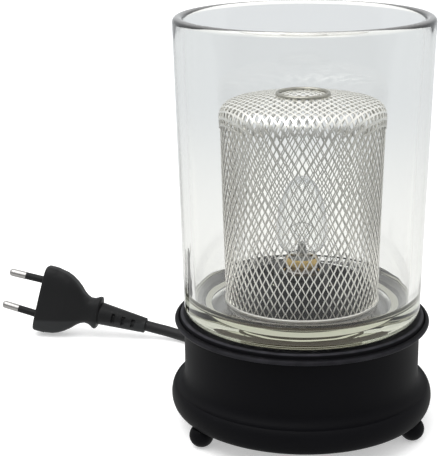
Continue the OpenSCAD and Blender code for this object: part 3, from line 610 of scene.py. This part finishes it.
ring_wire, start = new_finish("ring_wire")
dulled = start.cloud(260.0, 4.0)
coat(start, (dulled, 0.15, 0.00005), Base_Color=dulled.mix((0.26, 0.25, 0.22), (0.44, 0.43, 0.38)),
     Roughness=0.24 + 0.2 * dulled, Metallic=1.0)
wire_line = arc(10.7, 146.25, 0.8, 0.8, 0, 337.5, 15)
piece("top_ring", turned(wire_line, 160), ring_wire, "cage", "nickel_mesh", "cage_top_ring", sharp=60)
band_line = [(31.95, 57.05), (33.0, 57.02), (33.15, 57.2), (33.15, 58.35), (33.0, 58.6), (32.1, 58.6),
             (31.95, 58.4)]
piece("rim_band", turned(band_line, 192), nickel, "cage", "nickel_mesh", "cage_rim_band", sharp=40)


# The lamp: a small clear drop of blown glass, cemented into a brass cap with a rolled screw thread. A glass
# stem carries two wires and a coiled filament. Black vitrified glass under the cap holds the solder contact.
lamp_glass, start = new_finish("lamp_glass")
blown = start.cloud(120.0, 1.0)
coat(start, (blown, 0.1, 0.0005), Base_Color=blown.mix((0.97, 0.98, 0.98), (1, 1, 1)), Roughness=0.0,
     IOR=1.48, Transmission_Weight=1.0)

THROAT_R, BULB_R, BULB_Z, BULB_RISE, BULB_WALL = 6.0, 11, 86, 25, 0.6
CROWN_STEPS, CROWN_FULL, CROWN_POINT = 26, 0.8, 1.25


def drop(t):
    """The bulb's skin, t inside its outer face, from the throat to the top."""
    throat = [(THROAT_R - t, 74), (THROAT_R - t, 77)] + arc(0, BULB_Z, BULB_R - t, 10, -50, 0, 14)
    crown = []
    for q in (math.radians(90 * k / CROWN_STEPS) for k in range(1, CROWN_STEPS)):
        rise = (BULB_RISE - t) * math.sin(q) ** CROWN_POINT
        crown.append(((BULB_R - t) * math.cos(q) ** CROWN_FULL, BULB_Z + rise))
    return throat + crown + [(0, BULB_Z + BULB_RISE - t)]


bulb = turned(drop(0) + drop(BULB_WALL)[::-1], 96)
piece("blown_bulb", bulb, lamp_glass, "bulb", "lamp_glass", "bulb_glass")

stem_glass, start = new_finish("stem_glass")
milk = start.cloud(300.0, 3.0)
coat(start, (milk, 0.2, 0.0002), Base_Color=milk.mix((0.74, 0.74, 0.7), (0.86, 0.86, 0.82)),
     Roughness=0.12 + 0.1 * milk, IOR=1.48, Transmission_Weight=0.3)
stem_line = [(0, 74.05), (5.35, 74.05), (5.1, 74.6), (3.4, 76.4), (2.3, 78), (1.7, 79.4), (1.75, 81),
             (1.3, 81.9), (0, 82.05)]
piece("lamp_stem", turned(stem_line, 48, loop=False), stem_glass, "bulb", "lamp_glass", "bulb_stem")

tinned_brass, start = new_finish("tinned_brass")
worn = start.cloud(210.0, 5.0)
gilt = worn.mix((0.62, 0.44, 0.17), (0.8, 0.6, 0.28))
tin = worn.mix((0.5, 0.47, 0.46), (0.66, 0.63, 0.62))
metal = start.place("Z").between(0.0711, 0.0716).mix(tin, gilt)
outer = start.radius().between(0.006, 0.0061)
coat(start, (start.cloud(2400.0, 2.0, (1, 1, 0.05)), 0.1, 0.00003), Metallic=outer,
     Base_Color=outer.mix((0.42, 0.4, 0.36), metal), Roughness=0.8 - outer * (0.56 - 0.2 * worn))

CAP_R = 6.8
screw_line = [(4.1, 62), (5.8, 62.25)] + [(CAP_R, z) for z in span(62.9, 71.0, 0.25)]
collar_line = [(6.2, 71.3), (6.25, 71.6), (6.7, 71.9), (CAP_R, 72.3), (CAP_R, 74.3), (6.66, 75.1),
               (6.45, 75.5), (5.98, 75.5), (5.95, 64), (5.2, 62.8), (4.1, 62.4)]
cap_thread = thread(CAP_R, pitch=LAMP_PITCH, depth=0.85, low=62.6, high=71.2)
cap = turned(screw_line + collar_line, 96, ripple=cap_thread)
piece("screw_cap", cap, tinned_brass, "bulb", "brass", "bulb_cap")

vitrite, start = new_finish("black_vitrite")
fired = start.cloud(500.0, 3.0)
coat(start, (fired, 0.1, 0.00005), Base_Color=fired.mix((0.006, 0.006, 0.008), (0.016, 0.015, 0.018)),
     Roughness=0.08 + 0.12 * fired)
button_line = [(0, 59.82), (2.6, 59.8), (3.3, 60.1), (4.3, 61.4), (4.7, 61.9), (4.1, 61.98), (4.0, 62.4),
               (0, 62.4)]
button = turned(button_line, 48, loop=False)
piece("vitrite_button", button, vitrite, "bulb", "black_glass", "cap_insulator")

solder, start = new_finish("soft_solder")
wetted = start.cloud(800.0, 4.0)
coat(start, (wetted, 0.4, 0.0001), Base_Color=wetted.mix((0.5, 0.5, 0.49), (0.7, 0.69, 0.66)),
     Roughness=0.3 + 0.25 * wetted, Metallic=1.0)
tip_line = [(0, 59)] + arc(0, 59.8, 2.35, 0.8, -75, 0, 5) + [(0, 59.85)]
piece("solder_tip", turned(tip_line, 40, loop=False), solder, "bulb", "solder", "cap_contact")

ASIDE = Vector((0, 1, 0.01))


def wound(points, size, sides):
    """A round wire of one size along a line of points in millimetres, which nowhere runs along ASIDE."""
    wire = bmesh.new()
    rings = []
    for i, at in enumerate(points):
        before, after = points[max(i - 1, 0)], points[min(i + 1, len(points) - 1)]
        ahead = (Vector(after) - Vector(before)).normalized()
        u = ahead.cross(ASIDE).normalized()
        v = ahead.cross(u)
        ring = []
        for turn in (2 * math.pi * k / sides for k in range(sides)):
            out = u * math.cos(turn) + v * math.sin(turn)
            ring.append(wire.verts.new((Vector(at) + size / 2 * out) * MM))
        rings.append(ring)
    skin(wire, rings)
    wire.faces.new(rings[0])
    wire.faces.new(rings[-1])
    return wire


tungsten, start = new_finish("tungsten")
drawn = start.cloud(3000.0, 2.0)
coat(start, (drawn, 0.2, 0.00002), Base_Color=drawn.mix((0.4, 0.39, 0.38), (0.55, 0.54, 0.53)),
     Roughness=0.4 + 0.2 * drawn, Metallic=1.0)
LEAD_D, HALF_SPAN, TOP_Z = 0.36, 4.5, 89
lead_lines = [[(x, 0, 80.05), (x, 0, 82.6), (1.4 * x, 0, 84.2), (2.7 * x, 0, 85.8), (3.9 * x, 0, 87.4),
               (HALF_SPAN * x, 0, TOP_Z)] for x in (-1, 1)]
leads = joined(*(wound(lead_line, LEAD_D, 10) for lead_line in lead_lines))
piece("lead_in_pair", leads, zinc, "bulb", "steel", "lead_in_wires")
FILAMENT_D, WINDING_R, WINDING, ARCH, FILAMENT_STEPS = 0.08, 0.2, 150, 1.8, 600
filament_line = []
for t in (2 * k / FILAMENT_STEPS - 1 for k in range(FILAMENT_STEPS + 1)):
    y, z = WINDING_R * math.cos(WINDING * t), WINDING_R * math.sin(WINDING * t)
    filament_line.append((HALF_SPAN * t, y, TOP_Z + ARCH * (1 - t * t) + z))
piece("filament_coil", wound(filament_line, FILAMENT_D, 5), tungsten, "bulb", "tungsten", "filament")


# The plug: a flat two-pin plug moulded onto the cord in black plastic, with a face block, sloping shoulders,
# a collar and a slotted bend relief. The pins are nickel plated, and half of each is sleeved.
PLUG = placed((-136.041, 99.02, 19.345), (174, "Z"), (-13, "Y"), (10, "X"))
moulding, start = new_finish("plug_moulding")
spark = start.cloud(2100.0, 3.0)
sweep = start.cloud(60.0, 2.0)
# Painted light: below about 9 mm up, near the table, the plug is drawn paler than above.
painted_low_light = 1 - start.place("Z").between(0.0085, 0.01)
upper = sweep.mix((0.0052, 0.0054, 0.0058), (0.0085, 0.0088, 0.0094))
coat(start, (spark, 0.3, 0.00008), Base_Color=painted_low_light.mix(upper, (0.022, 0.023, 0.024)),
     Roughness=0.46 + 0.12 * spark, Specular_IOR_Level=0.2)

PLUG_LONG, RELIEF_LONG = 32.4, 25
HALF_W = [(0, 16.3), (0.25, 16.95), (0.9, 17.35), (3, 17.4), (6.3, 17.35), (6.55, 17.15), (7.1, 17.1),
          (11, 16.4), (14, 15.2), (17, 13.4), (19.7, 11.2), (22, 8.9), (24, 7.5), (26, 6.8), (28, 7),
          (29.4, 7.6), (30.4, 8.3), (31.4, 8.5), (32, 8.3), (PLUG_LONG, 7.6)]
HALF_T = [(0, 5.8), (0.25, 6.3), (0.9, 6.65), (3, 6.7), (7.1, 6.68), (14, 6.55), (19, 5.9), (24, 5.4),
          (28, 5.4), (30.4, 6.0), (31.4, 6.2), (32, 6.0), (PLUG_LONG, 5.5)]
SQUARENESS = [(0, 4.2), (20, 4.2), (26, 2.8)]
SIDES = 72


def level(table, x):
    """The value at x, straight between the (x, value) rows of a table."""
    for (a, low), (b, high) in zip(table, table[1:]):
        if x <= b:
            return low + (high - low) * (x - a) / (b - a)
    return table[-1][1]


body = bmesh.new()
rings = []
for x in sorted({x for x, _ in HALF_W} | set(span(7.4, 32.2, 0.8))):
    w, t, power = level(HALF_W, x), level(HALF_T, x), 2 / level(SQUARENESS, x)
    ring = []
    for turn in (2 * math.pi * k / SIDES for k in range(SIDES)):
        c, s = math.cos(turn), math.sin(turn)
        y, z = t * math.copysign(abs(c) ** power, c), w * math.copysign(abs(s) ** power, s)
        ring.append(body.verts.new(Vector((-x, y, z)) * MM))
    rings.append(ring)
skin(body, rings)
body.faces.new(rings[0])
body.faces.new(rings[-1])
bmesh.ops.transform(body, matrix=PLUG, verts=body.verts)
plug_parts = [piece("moulded_plug", body, moulding, "base", "plug_black", "plug_body", sharp=50)]

SLOT_SLOPE, SLACK = 0.06, 0.01


def slotted(slots, width, half_angle, depth, sides):
    """A ripple for a bend relief: slots of that width at heights along it, on the sides in turn."""
    def shaped(r, z, turn):
        for i, first in enumerate(slots):
            if first - SLACK <= z <= first + width + SLACK:
                off = (turn - sides[i % len(sides)] + math.pi / 2) % math.pi - math.pi / 2
                if abs(off) < half_angle:
                    return r - depth
        return r
    return shaped


def slot_edges(slots, width, heights):
    """Heights along a bend relief, with both edges of each slot among them."""
    edges = set(heights)
    for first in slots:
        last = first + width
        edges |= {first - SLOT_SLOPE, first, last, last + SLOT_SLOPE}
    return sorted(edges)


RUNG_W, WIDE_END, CORD_END = 1.8, 5.9, 3.9
rungs = [7.2, 12.4, 17.6]
heights = slot_edges(rungs, RUNG_W, span(0.5, RELIEF_LONG - 0.8, 1.2))
taper_line = [(WIDE_END + (CORD_END - WIDE_END) * z / RELIEF_LONG, z) for z in heights]
tail_line = [(CORD_END + 0.1, RELIEF_LONG - 0.35), (CORD_END - 0.35, RELIEF_LONG), (2.75, RELIEF_LONG),
             (0, RELIEF_LONG - 0.3)]
relief_slots = slotted(rungs, RUNG_W, half_angle=0.5, depth=1.5, sides=[math.pi / 2])
relief = turned([(0, 0), (WIDE_END - 0.3, 0)] + taper_line + tail_line, 96, loop=False, ripple=relief_slots)
behind_plug = PLUG @ placed((-PLUG_LONG, 0, 0), (-90, "Y"))
bmesh.ops.transform(relief, matrix=behind_plug, verts=relief.verts)
plug_parts.append(piece("plug_bend_relief", relief, moulding, "base", "plug_black", "plug_relief", sharp=40))

plated, start = new_finish("plated_pin")
wiped = start.cloud(320.0, 3.0, (0.2, 1, 1))
coat(start, (wiped, 0.08, 0.00003), Base_Color=wiped.mix((0.3, 0.293, 0.285), (0.44, 0.43, 0.42)),
     Roughness=0.16 + 0.16 * wiped, Metallic=1.0)
PIN_APART, PIN_LONG, PIN_IN = 18.6, 19, 0.55
pin_line = [(0, -6), (1.3, -6), (1.3, 9.98), (1.85, 10), (2, 10.15), (2, 17.2), (1.95, 17.6), (1.78, 18.2),
            (1.4, 18.7), (0.9, 18.95), (0, PIN_LONG)]
jacket_line = [(1.32, 0), (1.75, 0), (1.9, 0.15), (1.9, 9.85), (1.8, 10), (1.32, 10)]


def pin_pair(outline, loop):
    """Two turned shapes in the plug's face, that lean a little to each other."""
    lean = math.degrees(math.atan(PIN_IN / PIN_LONG))
    pair = []
    for side in (-1, 1):
        one = turned(outline, 40, loop)
        in_face = PLUG @ placed((0, 0, side * PIN_APART / 2), (90 + side * lean, "Y"))
        bmesh.ops.transform(one, matrix=in_face, verts=one.verts)
        pair.append(one)
    return joined(*pair)


pins, jackets = pin_pair(pin_line, loop=False), pin_pair(jacket_line, loop=True)
plug_parts.append(piece("plated_pins", pins, plated, "base", "nickel_pins", "plug_pins"))
plug_parts.append(piece("sleeved_pins", jackets, moulding, "base", "plug_black", "pin_sleeves"))


# The strain relief: soft black plastic moulded round the cord, with a lip inside the base's wall, a shoulder
# in the pocket and a tapered sleeve with slots that let it bend.
sheath, start = new_finish("cord_sheath")
drag = start.cloud(500.0, 3.0)
coat(start, (start.cloud(2500.0, 2.0), 0.15, 0.00005), Roughness=0.42 + 0.14 * drag,
     Base_Color=drag.mix((0.006, 0.006, 0.0065), (0.011, 0.011, 0.0117)), Specular_IOR_Level=0.28)
GAP_W, SLEEVE_R, SLEEVE_THINS, SLEEVE_FROM, SLEEVE_LONG = 1.4, 4.7, 1.1, 55.6, 22
gaps = [58.6 + 3.6 * k for k in range(5)]
heights = slot_edges(gaps, GAP_W, span(56.2, 77, 1.2))
lip_part = [(0, 37.6), (4.6, 37.6), (4.8, 37.8), (4.8, 39.4), (4.6, 39.6), (3.8, 39.6)]
shoulder_part = [(3.8, 53.62), (5.2, 53.62), (5.3, 53.75), (5.3, 55.3), (5.1, 55.6), (SLEEVE_R, 55.62)]
sleeve_part = [(SLEEVE_R - SLEEVE_THINS * (z - SLEEVE_FROM) / SLEEVE_LONG, z) for z in heights]
end_part = [(3.55, 77.35), (3.2, 77.6), (2.75, 77.6), (0, 77.3)]
gland_slots = slotted(gaps, GAP_W, half_angle=0.75, depth=0.85, sides=[0, math.pi / 2])
gland = turned(lip_part + shoulder_part + sleeve_part + end_part, 96, loop=False, ripple=gland_slots)
bmesh.ops.transform(gland, matrix=EXIT, verts=gland.verts)
piece("cord_strain_relief", gland, sheath, "base", "black_cord", "cord_gland", sharp=40)
dress(sheath, "cord_tail")


# The cord: a round two-core mains lead in a black sheath. It drops from the strain relief into a coil of
# nearly six turns behind the base, wound in on top and out below, and then runs on the table to the plug.
CORD_D, POINT_APART, COIL_STEPS = 5.6, 4.5, 420
TIP = Vector((-26.541, 72.920, 0))
COIL = Vector((7.959, 111.920, 0))
OUT_R, STEP, SWEEP, CROSSING, LOW, HIGH = 40.2, 6.2, 2070.0, 90, 3.45, 9.55


def coil_point(s):
    """A point of the coil after s degrees. Half way, the cord crosses from the upper layer to the lower."""
    r = OUT_R - STEP * min(s, SWEEP - s) / 360
    fall = math.sin(math.pi / 2 * max(-1.0, min(1.0, (s - SWEEP / 2) / CROSSING)))
    turn = math.radians(180 - s)
    z = (HIGH + LOW) / 2 - (HIGH - LOW) / 2 * fall
    return COIL + Vector((r * math.cos(turn), r * math.sin(turn), z))


def eased(knots, step):
    """A smooth line through knots, with a point about every step millimetres."""
    line = []
    for i in range(len(knots) - 1):
        p0, p1, p2, p3 = (knots[max(0, min(len(knots) - 1, i + k))] for k in (-1, 0, 1, 2))
        n = max(1, round((p2 - p1).length / step))
        for k in range(n):
            t = k / n
            line.append(0.5 * (2 * p1 + (p2 - p0) * t + (2 * p0 - 5 * p1 + 4 * p2 - p3) * t ** 2
                               + (3 * p1 - p0 - 3 * p2 + p3) * t ** 3))
    return line + [knots[-1]]


plug_back = PLUG @ Vector((-(PLUG_LONG + RELIEF_LONG) * MM, 0, 0)) / MM
plug_axis = (PLUG.to_3x3() @ Vector((1, 0, 0))).normalized()
turns = [coil_point(SWEEP * i / COIL_STEPS) for i in range(COIL_STEPS + 1)]
turns = [turns[0] - Vector((0, CORD_D, 0))] + turns + [turns[-1] - Vector((CORD_D, 0, 0))]
falls = ((0, 0, EXIT_Z), (-1.7, 4.7, EXIT_Z), (-3.8, 11, 14.61), (-5.1, 17, 12.525), (-5.9, 23, 10.44))
lead = [TIP + Vector(p) for p in falls] + [turns[0] - Vector((0, 5, 0)), turns[0]]
bends = ((16.5, -2.9, 3.25), (2.5, -3.4, 2.9), (-10.5, 0.1, 2.9), (-19.5, 5.1, 2.9), (-27.5, 10.6, 2.9),
         (-35.5, 15.6, 3.2), (-42.5, 18.6, 4.1))
run = [turns[-1]] + [TIP + Vector(p) for p in bends] + [plug_back - 5 * plug_axis, plug_back + 2 * plug_axis]
route = eased(lead, POINT_APART)[:-1] + turns[:-1] + eased(run, POINT_APART)

cord_line = open_line("mains_cord", route)
cord_line.bevel_depth = CORD_D / 2 * MM
cord_line.bevel_resolution = 5
cord_line.use_fill_caps = True
cord_line.materials.append(sheath)
mains_cord = on_stage("mains_cord", cord_line)
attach(mains_cord, "base")
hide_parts("cord_lead", "cord_coil", "cord_run")


# The tie: a narrow strap of woven black nylon, wrapped tight round the coil and closed on itself on top.
# Its section is swept round the four bends of the coil's bundle.
woven, start = new_finish("woven_strap")
x, y, z = (start.place(axis) for axis in "XYZ")
WEAVE = 9000.0
weft = start.maths("SINE", (x + y + z) * WEAVE) * start.maths("SINE", (x - y) * WEAVE)
coat(start, (weft, 0.6, 0.0001), Roughness=0.78 + 0.12 * weft,
     Base_Color=weft.between(-1.0, 1.0).mix((0.006, 0.006, 0.007), (0.02, 0.02, 0.021)))
TIE = placed(COIL, (40, "Z"))
NEAR, FAR, UNDER, OVER = 24.95, 38.35, 3.0, 10.0
strap_section = [(2.3, -2.8), (2.3, 2.8), (2.6, 3.0), (2.8, 2.9), (3.0, 2.7), (3.0, -2.7), (2.8, -2.9),
                 (2.6, -3.0)]
strap = bmesh.new()
rings = []
for (r, z), first in (((NEAR, UNDER), 180), ((FAR, UNDER), 270), ((FAR, OVER), 0), ((NEAR, OVER), 90)):
    for turn in (math.radians(first + 15 * i) for i in range(7)):
        c, s = math.cos(turn), math.sin(turn)
        corners = [Vector((r + out * c, side, z + out * s)) * MM for out, side in strap_section]
        rings.append([strap.verts.new(corner) for corner in corners])
skin(strap, rings, loop=True)
bmesh.ops.transform(strap, matrix=TIE, verts=strap.verts)
tie = piece("coil_strap", strap, woven, "base", "black_cord", "coil_tie", sharp=50)
route[0] * MM


# The studio: a plain pale floor that keeps the object's shadow, a soft surround that is darker at the
# camera's side, and a wide soft light overhead. The camera looks down a little, from the photograph's place.
STAGE.view_settings.view_transform = "Standard"
floor_finish, start = new_finish("pale_floor")
camera_ray, glossy_ray, glass_ray = (start.add("ShaderNodeLightPath", out=f"Is {name} Ray")
                                     for name in ("Camera", "Glossy", "Transmission"))
matt = start.add("ShaderNodeBsdfDiffuse", {}, {"Color": (0.8, 0.8, 0.8, 1)})
pale = start.add("ShaderNodeEmission", {}, {"Color": (1, 1, 1, 1), "Strength": camera_ray * 0.4})
matt = start.add("ShaderNodeAddShader", {}, {0: matt, 1: pale})
# As metal and glass see it, the floor is dark in front, like the surround on the camera's side. Behind, it
# carries painted light: paler near the object and greyer further off, with a brighter painted strip behind
# the object.
x, y = start.place("X"), start.place("Y")
painted_light_pool = start.radius().between(0.2, 0.75).mix((0.97, 0.975, 0.965), (0.8, 0.82, 0.84))
narrow = 1 - (start.maths("ABSOLUTE", x) / (y + 0.55)).between(0.05, 0.068)
painted_light_strip = narrow * y.within(0.1, 0.17, 0.4, 0.62)
before = glass_ray.mix((0.2, 0.2, 0.21), (0.5, 0.51, 0.52))
ground = y.between(-0.26, -0.1).mix(before, painted_light_strip.mix(painted_light_pool, (1.14, 1.14, 1.11)))
mirrored = start.add("ShaderNodeEmission", {}, {"Color": ground})
seen_in_gloss = start.maths("MAXIMUM", glossy_ray, glass_ray)
mirrored = start.add("ShaderNodeMixShader", {}, {0: seen_in_gloss, 1: matt, 2: mirrored})
start.add("ShaderNodeOutputMaterial", {}, {"Surface": mirrored})

FLOOR_HALF, FLOOR_Z = 6.0, -0.0002
paper = bmesh.new()
bmesh.ops.create_grid(paper, x_segments=8, y_segments=8, size=FLOOR_HALF)
bmesh.ops.translate(paper, verts=paper.verts, vec=(0, 0, FLOOR_Z))
floor = on_stage("floor", as_mesh("floor", paper))
floor.data.materials.append(floor_finish)

world = bpy.data.worlds.new("studio")
STAGE.world = world
world.use_nodes = True
world.node_tree.nodes.clear()
start = Tone(world.node_tree)
way = start.add("ShaderNodeTexCoord", out="Generated")
back, height = (start.add("ShaderNodeSeparateXYZ", {}, {0: way}, axis) for axis in (1, 2))
camera_ray, glass_ray = (start.add("ShaderNodeLightPath", out=f"Is {name} Ray")
                         for name in ("Camera", "Transmission"))
before = glass_ray.mix((0.34, 0.345, 0.36), (0.56, 0.57, 0.58))
room = back.between(-0.75, -0.15).mix(before, (0.74, 0.76, 0.775))
room = height.between(0.12, 0.6).mix(room, (1.15, 1.15, 1.15))
room = start.add("ShaderNodeBackground", {}, {"Color": camera_ray.mix(room, (1, 1, 1))})
start.add("ShaderNodeOutputWorld", {}, {"Surface": room})

LIGHT_AT, LIGHT_FROM = Vector((-0.35, -0.25, 1.15)), Vector((-0.35, -0.25, 1.05))
soft = bpy.data.lights.new("soft_light", "AREA")
soft.shape, soft.size, soft.size_y, soft.energy = "RECTANGLE", 1.2, 1.0, 9.0
soft_light = on_stage("soft_light", soft)
facing = LIGHT_FROM.to_track_quat("Z", "Y").to_matrix().to_4x4()
soft_light.matrix_world = Matrix.Translation(LIGHT_AT) @ facing

CAMERA_AT = (0, -0.5242, 0.2442)
pitch, yaw, roll = math.radians(16.61), math.radians(-3.832), math.radians(-0.6)
ahead = Vector((math.sin(yaw) * math.cos(pitch), math.cos(yaw) * math.cos(pitch), -math.sin(pitch)))
right = Vector((math.cos(yaw), -math.sin(yaw), 0))
up = right.cross(ahead)
right, up = right * math.cos(roll) + up * math.sin(roll), up * math.cos(roll) - right * math.sin(roll)
lens = bpy.data.cameras.new("camera")
lens.sensor_fit, lens.sensor_width, lens.lens = "HORIZONTAL", 36.0, 104.56
camera = on_stage("camera", lens)
camera.matrix_world = Matrix.Translation(CAMERA_AT) @ Matrix((right, up, -ahead)).transposed().to_4x4()
STAGE.camera = camera
